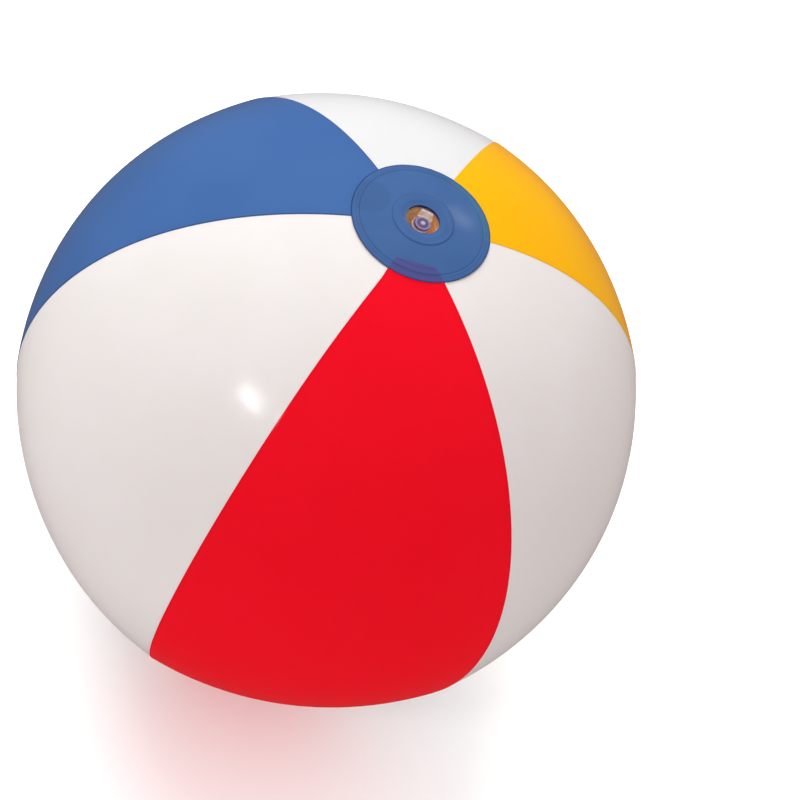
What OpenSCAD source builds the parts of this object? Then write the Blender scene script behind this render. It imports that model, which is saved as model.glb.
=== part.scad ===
// Inflatable beach ball: six gores of PVC film lap-welded into a ball, an end disc over each pole,
// and a push-in inflation valve with a tethered stopper and a one-way flap.
// Millimetres. The origin is the middle of the ball, and +Z leaves through the valve.

/* [Ball] */
// Diameter across the middles of two opposite panels, blown up
ball_d = 320; // [200:1:500]
// How far the seams stand out beyond the middles of the panels
seam_rise = 3.1; // [1:0.1:6]
// Thickness of the film
film_t = 0.25; // [0.15:0.05:0.5]
// Width of the strip that each white panel has under its two neighbours
seam_lap = 5; // [3:0.5:10]
// Gap drawn between two layers that are welded together
weld_gap = 0.05; // [0.02:0.01:0.1]

/* [End discs] */
// Diameter of the film disc welded over each pole
disc_d = 70; // [60:1:90]
// How far a disc laps over the tips of the panels
disc_lap = 11.5; // [6:0.5:14]

/* [Valve] */
// Diameter of the hole in the disc that the valve sits in
hole_d = 17; // [14:0.5:20]
// Diameter of the flange welded under the disc
flange_d = 30; // [27:0.5:32]
// Thickness of the flange
flange_t = 0.6; // [0.4:0.1:1]
// Width of the bevel that thins the flange towards its edge
flange_bevel = 1.5; // [0.5:0.1:2]
// How far the flange's opening stands back from the edge of the hole in the disc
flange_setback = 0.2; // [0.1:0.1:0.4]
// Height of the ring under the flange that the skirt hangs from
flange_ring_h = 1; // [0.6:0.1:1.5]
// Thickness of the skirt, the soft wall that lets the stem be pushed in
skirt_t = 0.5; // [0.3:0.1:0.8]
// Straight upper part of the skirt
skirt_drop = 2.5; // [2:0.1:4]
// Bore of the stem, which takes a pump nozzle or is blown into
bore_d = 5.6; // [5:0.1:6.2]
// Wall of the stem
stem_wall = 1.5; // [1:0.1:1.8]
// Length of the stem
stem_len = 18; // [16:0.5:24]
// Depth of the stem's mouth under the disc when the valve is pushed in
stem_sink = 4.1; // [3.6:0.1:4.4]
// How far the lip round the stem's mouth stands out from the stem
lip_w = 0.5; // [0.3:0.1:0.8]
// Height of that lip
lip_h = 0.8; // [0.5:0.1:1.2]
// How far the collar that the skirt holds stands out from the stem
collar_w = 0.9; // [0.6:0.1:1.2]
// Thickness of that collar
collar_t = 1; // [0.8:0.1:1.5]
// Depth of that collar under the stem's mouth
collar_depth = 8; // [7:0.5:10]
// Direction of the stopper's strap about the valve's axis
strap_azimuth = 70; // [0:5:355]
// Gap round what moves
joint_gap = 0.1; // [0.08:0.01:0.15]

/* [Stopper] */
// Diameter of the stopper's head
head_d = 7.8; // [7:0.1:8.2]
// Thickness of the head
head_t = 1.2; // [0.8:0.1:1.4]
// Radius of the head's top edge
head_edge = 0.35; // [0.2:0.05:0.4]
// Diameter of the raised pip on the head
pip_d = 2.5; // [1.5:0.1:3.5]
// Height of the pip
pip_h = 0.3; // [0.2:0.1:0.4]
// Length of the plug under the head
plug_len = 4.2; // [3:0.1:4.6]
// Width of the strap at the head
strap_w = 3.6; // [2:0.1:4.2]
// Width of the strap at its hinge
strap_end_w = 5.4; // [4.2:0.1:6]
// Thickness of the strap, and diameter of its rolled hinge end
strap_t = 0.7; // [0.5:0.1:0.8]
// How far the strap's hinge lies inside the edge of the hole in the disc
hinge_inset = 2; // [1.9:0.1:2.3]
// How far the anchor reaches past each end of the hinge
anchor_rim = 0.3; // [0.1:0.1:0.6]
// Thickness of the anchor
anchor_t = 1; // [0.8:0.1:1.4]

/* [Check flap] */
// Thickness of the flap under the stem, and diameter of its rolled hinge end
flap_t = 0.6; // [0.4:0.1:0.8]
// How far the flap covers the stem's wall beyond the bore
flap_lap = 1; // [0.5:0.1:1]
// Width of the flap's hinge
flap_hinge_w = 4; // [3:0.1:5]

/* [Hidden] */

// Each panel takes 60 degrees, so its seams lie this far to either side of its middle.
seam_angle = 30;
ball_r = ball_d / 2;
seam_r = ball_r + seam_rise;
// A panel is rounder along its length than across it: its outside turns about an axis parallel to
// Z that lies this far behind the ball's own, which lifts the seams by seam_rise at the equator.
set_back = (pow(seam_r, 2) - pow(ball_r, 2)) / (2 * (ball_r - seam_r * cos(seam_angle)));
// The coloured panels lie one layer of film outside the white ones.
colour_r = ball_r + weld_gap + film_t;
disc_r = disc_d / 2;
tip_r = disc_r - disc_lap;

// Half the width of a panel with lap beyond its seams, at x from the ball's axis.
function half_w(x, lap) = x * tan(seam_angle) + lap / cos(seam_angle);
// What is turned has a bore that takes in the ball's axis and ends short of the corner that a
// neighbour's bore comes nearest to, at the end of a white panel's strip.
core_r = (set_back + norm([tip_r, half_w(tip_r, seam_lap)]
    - set_back * [-cos(2 * seam_angle), sin(2 * seam_angle)])) / 2;

// A disc is a cap drawn tight over the seams of the coloured panels.
seam_q = sqrt(pow(set_back, 2) + pow(disc_r, 2) + 2 * set_back * disc_r * cos(seam_angle))
    - set_back;
cap_h = colour_r - sqrt(pow(colour_r, 2) - pow(seam_q, 2));
cap_in = (pow(disc_r, 2) + pow(cap_h, 2)) / (2 * cap_h) + weld_gap;
cap_out = cap_in + film_t;
cap_z = colour_r + weld_gap - cap_in;
// The stiff flange flattens the middle of the disc, and the ball's weight flattens the other one.
flat_r = flange_d / 2 + 0.5;
flat_z = cap_z + sqrt(pow(cap_out, 2) - pow(flat_r, 2));

hole_r = hole_d / 2;
flange_r = flange_d / 2;
flange_in = hole_r + flange_setback;
flange_top = flat_z - film_t - weld_gap;
ring_bottom = flange_top - flange_t - flange_ring_h;

bore_r = bore_d / 2;
stem_r = bore_r + stem_wall;
collar_r = stem_r + collar_w;
mouth_z = flat_z - stem_sink;
foot_z = mouth_z - stem_len;

head_r = head_d / 2;
head_z = mouth_z + weld_gap;
pivot_r = hole_r - hinge_inset;
pivot_z = mouth_z + joint_gap + strap_t / 2;
anchor_r = pivot_r + strap_t;
anchor_w = strap_end_w + 2 * anchor_rim;
// The plug keeps inside the arc on which the mouth's far edge lies about the hinge.
plug_arc = norm([pivot_r + bore_r, pivot_z - mouth_z]) - weld_gap;

flap_r = bore_r + flap_lap;
flap_pivot_x = -flap_r;
flap_pivot_z = foot_z - joint_gap - flap_t / 2;

film_fn = 180;
round_fn = 64;
clear_pvc = [0.86, 0.82, 0.78, 0.7];

// The solid turned about the axis set back from the ball's, whose outside is the panel's at +X.
module turned(r) {
    translate([-set_back, 0, 0]) rotate_extrude($fn = film_fn) intersection() {
        translate([set_back, 0]) circle(r);
        translate([core_r, -r]) square([set_back + r, 2 * r]);
    }
}

// The column that a panel is cut from: from its straight tips out, and as wide as its seams plus
// lap to either side.
module cutter(lap) {
    linear_extrude(2 * seam_r, center = true)
        polygon([for (x = [tip_r, seam_r + lap], s = x == tip_r ? [-1, 1] : [1, -1])
                 [x, s * half_w(x, lap)]]);
}

module coloured_panel(azimuth, tint) {
    color(tint) rotate(azimuth) difference() {
        intersection() {
            cutter(0);
            turned(colour_r);
        }
        turned(colour_r - film_t);
    }
}

// The inside of the ball across a panel and the edges of its two neighbours, up to radius r.
module three_turned(r) {
    intersection() {
        turned(r);
        rotate(2 * seam_angle) turned(r);
        rotate(-2 * seam_angle) turned(r);
    }
}

// A white panel goes on under its neighbours as a strip, creased along the seam.
module white_panel(azimuth) {
    color("white") rotate(azimuth) difference() {
        intersection() {
            cutter(seam_lap);
            three_turned(ball_r);
        }
        three_turned(ball_r - film_t);
    }
}

// Half the section of an end disc, from inner_r outwards: a cap with its middle pressed flat.
module disc_section(inner_r) {
    difference() {
        intersection() {
            translate([0, cap_z]) circle(cap_out, $fn = 2 * film_fn);
            translate([inner_r, 0]) square([disc_r - inner_r, flat_z]);
        }
        intersection() {
            translate([0, cap_z]) circle(cap_in, $fn = 2 * film_fn);
            square([2 * disc_r, flat_z - film_t]);
        }
    }
}

module valve_disc() {
    color("royalblue", 0.8) rotate_extrude($fn = round_fn) disc_section(hole_r);
}

module base_disc() {
    color("royalblue", 0.8) mirror([0, 0, 1]) rotate_extrude($fn = round_fn) disc_section(0);
}

module valve_flange() {
    color(clear_pvc) rotate_extrude($fn = round_fn) {
        polygon([[flange_in, flange_top], [flange_in, flange_top - flange_t],
                 [flange_r - flange_bevel, flange_top - flange_t],
                 [flange_r, flange_top - flange_t / 2], [flange_r, flange_top]]);
        translate([flange_in, ring_bottom]) square([skirt_t, flange_ring_h]);
    }
}

// The skirt hangs from the flange's ring and narrows to the stem's collar.
module valve_skirt() {
    knee_z = ring_bottom - skirt_drop;
    heel_z = mouth_z - collar_depth - collar_t;
    heel_r = collar_r + joint_gap;
    color(clear_pvc) rotate_extrude($fn = round_fn)
        polygon([[flange_in, ring_bottom], [flange_in, knee_z], [heel_r, heel_z + collar_t],
                 [heel_r, heel_z], [flange_in + skirt_t, knee_z - skirt_t / 2],
                 [flange_in + skirt_t, ring_bottom]]);
}

// The tab beside the stem's mouth that carries the strap's hinge.
module strap_anchor() {
    rotate(strap_azimuth) intersection() {
        cylinder(r = anchor_r, h = anchor_t, $fn = round_fn);
        linear_extrude(anchor_t)
            polygon([for (p = [[0, -strap_w], [anchor_r, -anchor_w], [anchor_r, anchor_w],
                               [0, strap_w]]) [p[0], p[1] / 2]]);
    }
}

module valve_stem() {
    color(clear_pvc) difference() {
        union() {
            translate([0, 0, foot_z]) cylinder(r = stem_r, h = stem_len, $fn = round_fn);
            translate([0, 0, mouth_z - lip_h])
                cylinder(r = stem_r + lip_w, h = lip_h, $fn = round_fn);
            translate([0, 0, mouth_z - collar_depth - collar_t])
                cylinder(r = collar_r, h = collar_t, $fn = round_fn);
            translate([0, 0, mouth_z - anchor_t]) strap_anchor();
        }
        translate([0, 0, foot_z - 1]) cylinder(r = bore_r, h = stem_len + 2, $fn = round_fn);
    }
}

// The plug is cut to the arc that it swings along, so that it leaves the bore without touching it.
module stopper() {
    color("lightsteelblue") {
        rotate_extrude($fn = round_fn) {
            translate([0, head_z]) square([head_r, head_t - head_edge]);
            translate([0, head_z]) square([head_r - head_edge, head_t]);
            translate([head_r - head_edge, head_z + head_t - head_edge]) circle(head_edge);
            translate([0, head_z]) square([pip_d / 2, head_t + pip_h]);
        }
        rotate_extrude($fn = round_fn) intersection() {
            translate([-pivot_r, pivot_z]) circle(plug_arc, $fn = 4 * round_fn);
            translate([0, head_z - plug_len]) square([bore_r - weld_gap, plug_len]);
        }
    }
}

// The strap widens from the head's rim to a rolled end on the hinge's axis.
module stopper_strap() {
    color("lightsteelblue") rotate(strap_azimuth) difference() {
        union() {
            translate([0, 0, pivot_z - strap_t / 2]) linear_extrude(strap_t)
                polygon([for (p = [[0, -strap_w], [head_r, -strap_w], [pivot_r, -strap_end_w],
                                   [pivot_r, strap_end_w], [head_r, strap_w], [0, strap_w]])
                         [p[0], p[1] / 2]]);
            translate([pivot_r, 0, pivot_z]) rotate([90, 0, 0])
                cylinder(d = strap_t, h = strap_end_w, center = true, $fn = round_fn);
        }
        translate([0, 0, mouth_z]) cylinder(r = head_r + weld_gap, h = stem_sink, $fn = round_fn);
    }
}

// The flap lies under the stem's foot, hinged on the side away from the strap.
module check_flap() {
    color(clear_pvc) rotate(strap_azimuth) {
        translate([0, 0, flap_pivot_z - flap_t / 2]) intersection() {
            cylinder(r = flap_r, h = flap_t, $fn = round_fn);
            translate([flap_pivot_x, -flap_r, 0]) cube([2 * flap_r, 2 * flap_r, flap_t]);
        }
        translate([flap_pivot_x, -flap_hinge_w / 2, flap_pivot_z - flap_t / 2])
            cube([flap_r, flap_hinge_w, flap_t]);
        translate([flap_pivot_x, 0, flap_pivot_z]) rotate([90, 0, 0])
            cylinder(d = flap_t, h = flap_hinge_w, center = true, $fn = round_fn);
    }
}

coloured_panel(-90, "crimson");  // panel_red
white_panel(-30);  // panel_white_right
coloured_panel(30, "gold");  // panel_yellow
white_panel(90);  // panel_white_back
coloured_panel(150, "royalblue");  // panel_blue
white_panel(210);  // panel_white_left
valve_disc();
base_disc();
valve_flange();
valve_skirt();
valve_stem();
stopper();
stopper_strap();
check_flap();
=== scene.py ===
# %% [markdown]
# # An inflatable beach ball
# The ball is six long panels of soft PVC film, called gores, welded edge to edge, with a round
# disc of blue film over each pole. A push-in valve sits in the upper disc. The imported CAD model
# gives every size and every joint, so this script only makes the looks: smooth film in place of
# the plain CAD film, the small marks that welding leaves, and materials, light and a camera.

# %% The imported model
import math
import bmesh
import bpy
import numpy as np
from mathutils import Matrix, Vector
from mathutils.bvhtree import BVHTree


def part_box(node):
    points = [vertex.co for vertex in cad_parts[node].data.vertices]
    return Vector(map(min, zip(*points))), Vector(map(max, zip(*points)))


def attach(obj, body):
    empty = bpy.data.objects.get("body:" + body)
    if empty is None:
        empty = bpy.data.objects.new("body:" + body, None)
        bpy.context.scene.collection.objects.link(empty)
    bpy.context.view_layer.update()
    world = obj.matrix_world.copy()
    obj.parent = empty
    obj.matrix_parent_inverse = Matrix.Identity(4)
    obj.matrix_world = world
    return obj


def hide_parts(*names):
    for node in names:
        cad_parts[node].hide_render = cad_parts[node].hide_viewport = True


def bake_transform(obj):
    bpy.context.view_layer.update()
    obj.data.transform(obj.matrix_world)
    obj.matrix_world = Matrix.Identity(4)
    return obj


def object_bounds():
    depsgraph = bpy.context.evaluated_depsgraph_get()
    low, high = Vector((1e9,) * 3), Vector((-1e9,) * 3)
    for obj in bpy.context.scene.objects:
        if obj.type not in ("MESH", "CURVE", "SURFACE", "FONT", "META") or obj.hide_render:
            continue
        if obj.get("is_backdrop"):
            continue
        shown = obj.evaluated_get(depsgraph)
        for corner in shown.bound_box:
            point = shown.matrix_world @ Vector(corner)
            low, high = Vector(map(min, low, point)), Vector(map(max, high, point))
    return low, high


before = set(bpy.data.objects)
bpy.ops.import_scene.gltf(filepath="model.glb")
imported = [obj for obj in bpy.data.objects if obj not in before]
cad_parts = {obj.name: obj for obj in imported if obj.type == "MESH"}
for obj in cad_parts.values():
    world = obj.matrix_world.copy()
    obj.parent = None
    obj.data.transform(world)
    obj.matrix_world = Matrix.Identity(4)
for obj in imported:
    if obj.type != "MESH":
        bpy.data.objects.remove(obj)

MM = 0.001
cad_low, cad_high = (list(corner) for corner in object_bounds())
print("CAD box, mm:", [round((b - a) / MM, 1) for a, b in zip(cad_low, cad_high)])

# %% [markdown]
# ## Points read off the photograph
# These are the only pixel positions in the script. The first four are the ball's outline, and the
# rest are ends of seams and parts of the valve. Together they settle the camera, and at the end
# the script measures how far each thing shows from its point.

# %% Image points
W = H = 800
L = max(W, H)
OUTLINE = {"left_x": 14.5, "right_x": 636.5, "top_y": 90.5, "bottom_y": 706.0}
POINTS = {
    "hole_middle": (423.0, 220.0),
    "red_seam_left": (283.5, 410.0),
    "red_seam_right": (508.5, 490.0),
    "blue_seam_low": (150.0, 236.5),
    "blue_seam_high": (352.0, 139.0),
    "yellow_seam_high": (461.1, 172.1),
    "yellow_seam_low": (590.0, 289.5),
    "disc_left": (348.5, 214.0),
    "disc_right": (490.5, 237.0),
    "stopper_pip": (423.5, 224.0),
    "red_tip_left": (396.0, 257.0),
    "red_tip_right": (436.0, 268.0),
    "blue_tip_end": (391.0, 200.0),
    "gleam_on_white": (250.0, 400.0),
    "gleam_on_disc": (460.0, 218.0),
}

# %% [markdown]
# ## The camera
# A long lens looks down on the ball from a little over 50 degrees and is rolled by 30, so the
# valve leans to the upper right. We could turn the ball instead, but it has to stand on its flat
# base as the CAD says, so the camera moves. It aims past the ball's middle, because the ball sits
# left of the middle of the picture, and no lens shift is needed.

# %% The camera
VIEW_AZIMUTH = -114.37
VIEW_ELEVATION = 51.53
VIEW_ROLL = 29.64
DISTANCE = 1.25
AIM_RIGHT = 0.03819
AIM_UP = 0.00045
SHIFT_X = SHIFT_Y = 0.0
LENS = 106.4
SENSOR = 36.0
UPWARD = np.array([0.0, 0.0, 1.0])


def unit(vector):
    """The vector at length 1."""
    return np.array(vector) / np.linalg.norm(vector)


def camera_axes(azimuth, elevation, roll):
    """Right, up and back as unit vectors: back points from the object to the camera, right and up
    are level and plumb, and then both turn about back by roll."""
    a, e, r = np.radians([azimuth, elevation, roll])
    back = np.array([math.cos(e) * math.cos(a), math.cos(e) * math.sin(a), math.sin(e)])
    level = np.array([-math.sin(a), math.cos(a), 0.0])
    plumb = np.cross(back, level)
    right = math.cos(r) * level + math.sin(r) * plumb
    return right, np.cross(back, right), back


def standing(x_axis, y_axis, z_axis, place):
    """The 4 x 4 matrix of an object: its columns are the three axes and the place, over the row
    0 0 0 1."""
    columns = np.column_stack([x_axis, y_axis, z_axis, place])
    return Matrix(np.vstack([columns, [0.0, 0.0, 0.0, 1.0]]).tolist())


right, up, back = camera_axes(VIEW_AZIMUTH, VIEW_ELEVATION, VIEW_ROLL)
eye = AIM_RIGHT * right + AIM_UP * up + DISTANCE * back
camera_data = bpy.data.cameras.new("camera")
camera_data.lens = LENS
camera_data.sensor_width = SENSOR
camera_data.sensor_fit = "AUTO"
camera_data.shift_x = SHIFT_X
camera_data.shift_y = SHIFT_Y
camera = bpy.data.objects.new("camera", camera_data)
camera.matrix_world = standing(right, up, back, eye)
bpy.context.scene.collection.objects.link(camera)
bpy.context.scene.camera = camera


def to_image(points):
    """Where points of the model show in the photograph's frame: each is split along the camera's
    axes, and its offset over its depth, times the focal length in pixels, is its place."""
    p = np.atleast_2d(points) - eye
    x, y, depth = p @ right, p @ up, -(p @ back)
    focal = L * LENS / SENSOR
    return np.stack([W / 2 - SHIFT_X * L + focal * x / depth,
                     H / 2 + SHIFT_Y * L - focal * y / depth], axis=-1)


def on_surface(x, y, tree):
    """Where the line of sight through an image point meets a BVH tree, or the tree's nearest
    place to the line at the ball's depth where it misses."""
    ray = unit((x - W / 2 + SHIFT_X * L) * right + (H / 2 - y + SHIFT_Y * L) * up
               - L * LENS / SENSOR * back)
    hit = tree.ray_cast(Vector(eye), Vector(ray))[0]
    if hit is None:
        hit = tree.find_nearest(Vector(eye + ray * DISTANCE))[0]
    return np.array(hit)


print("the ball's middle shows at", to_image([0.0, 0.0, 0.0]).round(1)[0])

# %% [markdown]
# ## Meshes from arrays
# Every new piece is a grid of points worked out with numpy. A film or a moulding has two sides, so
# a piece gets an outer grid and an inner one, and the open edges between them are closed.
# Building the quads as whole arrays keeps this fast, and keeps every face pointing outwards.

# %% A closed skin from two grids
def numbered(rows, cols, ring=False):
    """Vertex numbers of a grid. With ring=True the first column comes again at the end."""
    index = np.arange(rows * cols).reshape(rows, cols)
    return np.concatenate([index, index[:, :1]], axis=1) if ring else index


def grid_faces(index):
    """The quads of a grid of vertex numbers: a vertex, the one under it, the one beside that and
    the one beside the first."""
    corners = [index[:-1, :-1], index[1:, :-1], index[1:, 1:], index[:-1, 1:]]
    return np.stack(corners, axis=-1).reshape(-1, 4)


def skin(name, outer, inner, ring=False, sharp=40.0, maps=None):
    """A mesh object from two (rows, columns, 3) grids. Down a column and then along a row turn
    about the outward normal. With ring=True the last column joins the first. Each open edge is
    closed by the grid of its outer line and its inner one. maps is a (rows, columns, 2) grid kept
    as the UV map."""
    rows, cols = outer.shape[:2]
    index = numbered(rows, cols, ring)
    far = index + rows * cols
    edges = [(index[0], far[0]), (index[-1, ::-1], far[-1, ::-1])]
    if not ring:
        edges += [(index[::-1, 0], far[::-1, 0]), (index[:, -1], far[:, -1])]
    faces = [grid_faces(index), grid_faces(far[:, ::-1])]
    faces += [grid_faces(np.stack(edge, axis=1)) for edge in edges]
    if maps is not None:
        maps = np.concatenate([maps.reshape(-1, 2)] * 2)
    points = np.concatenate([outer.reshape(-1, 3), inner.reshape(-1, 3)])
    return build(name, points, np.concatenate(faces), maps, sharp)


def build(name, points, faces, maps=None, sharp=40.0):
    """A mesh object with smooth shading up to sharp degrees. Points in one place become one, which
    closes poles and seams. maps gives each point's place in the UV map."""
    mesh = bpy.data.meshes.new(name)
    mesh.from_pydata(points.tolist(), [], faces.tolist())
    if maps is not None:
        mesh.uv_layers.new(name="film").data.foreach_set("uv", maps[faces.ravel()].ravel())
    work = bmesh.new()
    work.from_mesh(mesh)
    bmesh.ops.remove_doubles(work, verts=work.verts, dist=0.0001 * MM)
    work.to_mesh(mesh)
    work.free()
    mesh.polygons.foreach_set("use_smooth", np.ones(len(mesh.polygons), bool))
    mesh.set_sharp_from_angle(angle=math.radians(sharp))
    piece = bpy.data.objects.new(name, mesh)
    bpy.context.scene.collection.objects.link(piece)
    return piece


def lathe(name, section, turns=128, wobble=None):
    """A turned piece. section is an (n, 2) array of radius and height that runs out along the top,
    down the outside and back underneath, from the axis to the axis or round to its own start.
    wobble gives a change of radius from the azimuth and the height."""
    turn = (2.0 * math.pi * np.arange(turns) / turns)[None, :]
    r, z = section[:, :1], section[:, 1:]
    if wobble is not None:
        r = r + wobble(turn, z)
    points = np.stack([r * np.cos(turn), r * np.sin(turn), z + 0.0 * turn], axis=-1)
    faces = grid_faces(numbered(*points.shape[:2], ring=True))
    return build(name, points.reshape(-1, 3), faces, sharp=50.0)


def rounded(corners, closed=False, steps=5):
    """A section from its corners, each a radius, a height and how many mm from it the rounding
    starts. A rounded corner is the curve (1 - t)^2 start + 2t(1 - t) corner + t^2 end."""
    corner = np.array([c[:2] for c in corners], float)
    line = []
    for i, (_, _, cut) in enumerate(corners):
        at, before, after = corner[i], corner[i - 1], corner[(i + 1) % len(corners)]
        if cut == 0.0:
            line.append(at)
            continue
        start = at + cut * MM * unit(before - at)
        end = at + cut * MM * unit(after - at)
        for t in np.linspace(0.0, 1.0, steps):
            line.append((1 - t) ** 2 * start + 2 * t * (1 - t) * at + t ** 2 * end)
    if closed:
        line.append(line[0])
    return np.array(line)


def smooth(x, low, high):
    """0 below low, 1 above high, and 3t^2 - 2t^3 between them."""
    t = np.clip((x - low) / (high - low), 0.0, 1.0)
    return t * t * (3.0 - 2.0 * t)


def bump(x, middle, width):
    """A bell of height 1 and the given half width: exp(-((x - middle) / width)^2)."""
    return np.exp(-((x - middle) / width) ** 2)


# %% [markdown]
# ## The form of a panel
# A flat gore that is blown up is rounder along its length than across it, so its seams stand out
# a little more than its middle. The CAD turns each panel's profile about an axis that lies behind
# the ball's own, and the same formula gives smooth film here. The sizes come from the CAD nodes'
# boxes: the white panels reach the ball's radius, and the seams the widest place.

# %% Sizes of the ball
SEAM_ANGLE = math.radians(30.0)
FILM = 0.25 * MM
white_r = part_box("panel_white_back")[1].y
colour_r = -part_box("panel_red")[0].y
seam_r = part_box("panel_red")[1].x / math.sin(SEAM_ANGLE)
behind = (seam_r ** 2 - colour_r ** 2) / (2 * (colour_r - seam_r * math.cos(SEAM_ANGLE)))
disc_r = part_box("valve_disc")[1].x
flat_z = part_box("valve_disc")[1].z
print("white radius, colour radius, seam radius, axis behind, mm:",
      [round(v / MM, 2) for v in (white_r, colour_r, seam_r, behind)])

# %% [markdown]
# ## The film's small marks
# The welds are not perfect. The tight film puckers where a straight edge was bent into a curve,
# a coloured edge is pressed down onto the white film under it, and the large panels swell a
# little unevenly. These are waves of a few tenths of a millimetre at most, added along the
# surface's normal, so they show in the reflections and not in the outline.
#
# A real ball is not quite true either. Each panel bulges by its own amount, up to 2 mm, each seam
# is turned a little, and the place where the seams meet has crept 6 mm to one side. These are
# read off the photograph, and one function moves every point to where the welds have put it.

# %% Rows and columns of a panel
ROWS = 340
COLS = 72
TIP_X = {"panel_red": 22.0 * MM, "panel_yellow": 28.5 * MM, "panel_blue": 15.0 * MM}
WHITE_TIP = 22.0 * MM
EDGE_CROWDING = 2.2
TIP_BEND = 0.25
PUCKER_H = 0.05 * MM
PUCKER_LENGTHS = (1.7 * MM, 2.3 * MM, 3.1 * MM)
PUCKER_GROUPS = 17.0 * MM
PUCKER_REACH = 9.0 * MM
SWELL_H = 0.25 * MM
PRESSED_H = 0.18 * MM
PRESSED_WIDTH = 0.45 * MM
WELD_LINE_H = 0.03 * MM
SEAM_TURNS = [(0, 2.6), (60, 0.2), (120, -1.6), (180, -0.6), (240, 0.2), (300, 0.1), (360, 2.6)]
DISC_TURNS = [(0, -1.5), (60, -1.1), (120, 0.0), (180, 0.0), (240, 4.0), (300, -2.2), (360, -1.5)]
BULGES = {"panel_red": 0.4 * MM, "panel_blue": 1.9 * MM, "panel_yellow": 1.7 * MM}
WHITE_BULGE = 1.2 * MM
TUCK = 0.35 * MM
PULL = np.array([-4.1, -4.5, 0.0]) * MM
DISC_TURNS_REACH = 25.0 * MM
rng = np.random.default_rng(7)


def panel_point(radius, polar, across, tip_share):
    """A point of a panel whose middle looks along +X, and its normal.

    polar is the angle from the pole and across the angle from the panel's middle. In the middle
    the point lies q = radius * sin(polar) from the ball's axis, and its height is
    sqrt(radius^2 - q^2). Across the panel the same height lies on a circle about the axis that is
    set behind, so its distance from the ball's axis is
    s = -e cos(a) + sqrt((e cos a)^2 + q^2 + 2 e q). Near a tip the rows straighten, by tip_share,
    to lines across the panel, as the film was cut."""
    e = behind
    q = radius * np.sin(polar)
    straight = np.sqrt((q + e) ** 2 + (q * np.tan(across)) ** 2) - e
    q = np.minimum(q + (straight - q) * tip_share, radius)
    s = -e * np.cos(across) + np.sqrt((e * np.cos(across)) ** 2 + q ** 2 + 2 * e * q)
    z = np.sign(np.cos(polar)) * np.sqrt(radius ** 2 - q ** 2)
    x, y = s * np.cos(across), s * np.sin(across)
    from_axis = np.hypot(x + e, y)
    normal = np.stack([(x + e) / from_axis * q, y / from_axis * q, z], axis=-1) / radius
    return np.stack([x, y, z], axis=-1), normal


def as_welded(points):
    """Points of an ideal ball moved to where this one's welds put them. Each seam is turned by a
    few degrees, and a point between two seams by the share between theirs. At the valve's disc
    DISC_TURNS comes on top, and it dies away as exp(-distance / DISC_TURNS_REACH). The place
    where the seams meet has also crept sideways, by PULL along the surface at the pole, fading to
    nothing at the equator."""
    azimuth = np.degrees(np.arctan2(points[..., 1], points[..., 0])) % 360.0
    past_disc = np.maximum(np.hypot(points[..., 0], points[..., 1]) - disc_r, 0.0)
    near = np.exp(-past_disc / DISC_TURNS_REACH)
    turn = np.interp(azimuth, *zip(*SEAM_TURNS))
    turn = np.radians(turn + np.interp(azimuth, *zip(*DISC_TURNS)) * near * (points[..., 2] > 0.0))
    c, s = np.cos(turn), np.sin(turn)
    x, y, z = points[..., 0], points[..., 1], points[..., 2]
    turned = np.stack([x * c - y * s, x * s + y * c, z], axis=-1)
    out = turned / np.linalg.norm(turned, axis=-1, keepdims=True)
    along = PULL - (out @ PULL)[..., None] * out
    from_pole = np.arccos(out[..., 2:])
    return turned + along * (1.0 - smooth(from_pole, 0.0, math.pi / 2))


def puckers(along, edge, phases):
    """Small waves along a seam: the mean of three sines of unlike length, times a slow sine,
    because puckers come in groups, times exp(-edge / PUCKER_REACH), and nothing at the seam."""
    waves = sum(np.sin(along / length + phase)
                for length, phase in zip(PUCKER_LENGTHS, phases)) / 3.0
    groups = 0.55 + 0.45 * np.sin(along / PUCKER_GROUPS + phases[3])
    fade = np.exp(-edge / PUCKER_REACH) * smooth(edge, 0.0, 3.0 * MM)
    return PUCKER_H * waves * groups * fade


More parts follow.
